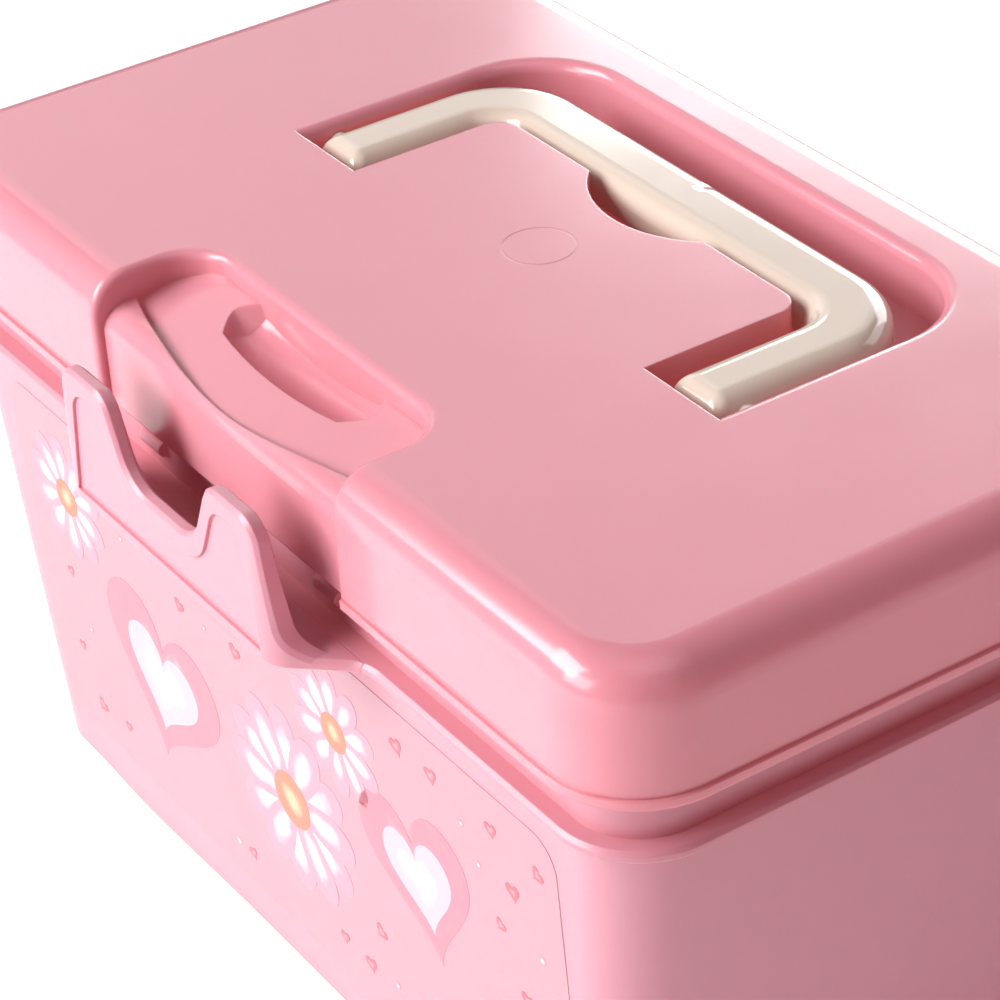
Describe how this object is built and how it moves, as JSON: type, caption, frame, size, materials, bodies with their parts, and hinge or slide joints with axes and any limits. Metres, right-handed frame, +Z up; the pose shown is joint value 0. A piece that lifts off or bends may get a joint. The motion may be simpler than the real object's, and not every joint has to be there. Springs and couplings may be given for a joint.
{
  "type": "organizer case",
  "caption": "Moulded plastic organizer case with tapered tub, hinged lid, sunk folding carry handle, scalloped front pull tab and lift-out compartment tray.",
  "frame": {"origin": "middle of the base, on the surface that the case stands on", "axes": "+X to the right along the case, +Y to the back where the hinges are, +Z up"},
  "size_m": [0.3016, 0.1955, 0.176],
  "materials": {
    "tub_plastic": "smooth moulded, slightly translucent lavender pink",
    "lid_plastic": "smooth moulded semi-gloss pink",
    "handle_plastic": "gloss moulded cream",
    "tray_plastic": "satin moulded off-white",
    "label_film": "gloss printed film",
    "pin_plastic": "smooth moulded pink"
  },
  "bodies": {
    "tub": {"tub": "tub_plastic", "pull_tab": "tub_plastic", "front_label": "label_film", "hinge_pin_left": "pin_plastic", "hinge_pin_right": "pin_plastic"},
    "lid": {"lid": "lid_plastic"},
    "handle": {"carry_handle": "handle_plastic"},
    "tray": {"lift_out_tray": "tray_plastic", "tray_grip": "tray_plastic"}
  },
  "joints": [
    {"name": "lid_hinge", "type": "hinge", "parent": "tub", "child": "lid", "pos_m": [0, 0.091, 0.14], "axis": [-1, 0, 0], "range_deg": [0, 105]},
    {"name": "handle_swing", "type": "hinge", "parent": "lid", "child": "handle", "pos_m": [0, 0, 0.17], "axis": [1, 0, 0], "range_deg": [0, 90]},
    {"name": "tray_lift", "type": "slide", "parent": "tub", "child": "tray", "axis": [0, 0, 1], "range_m": [0, 0.022]}
  ]
}
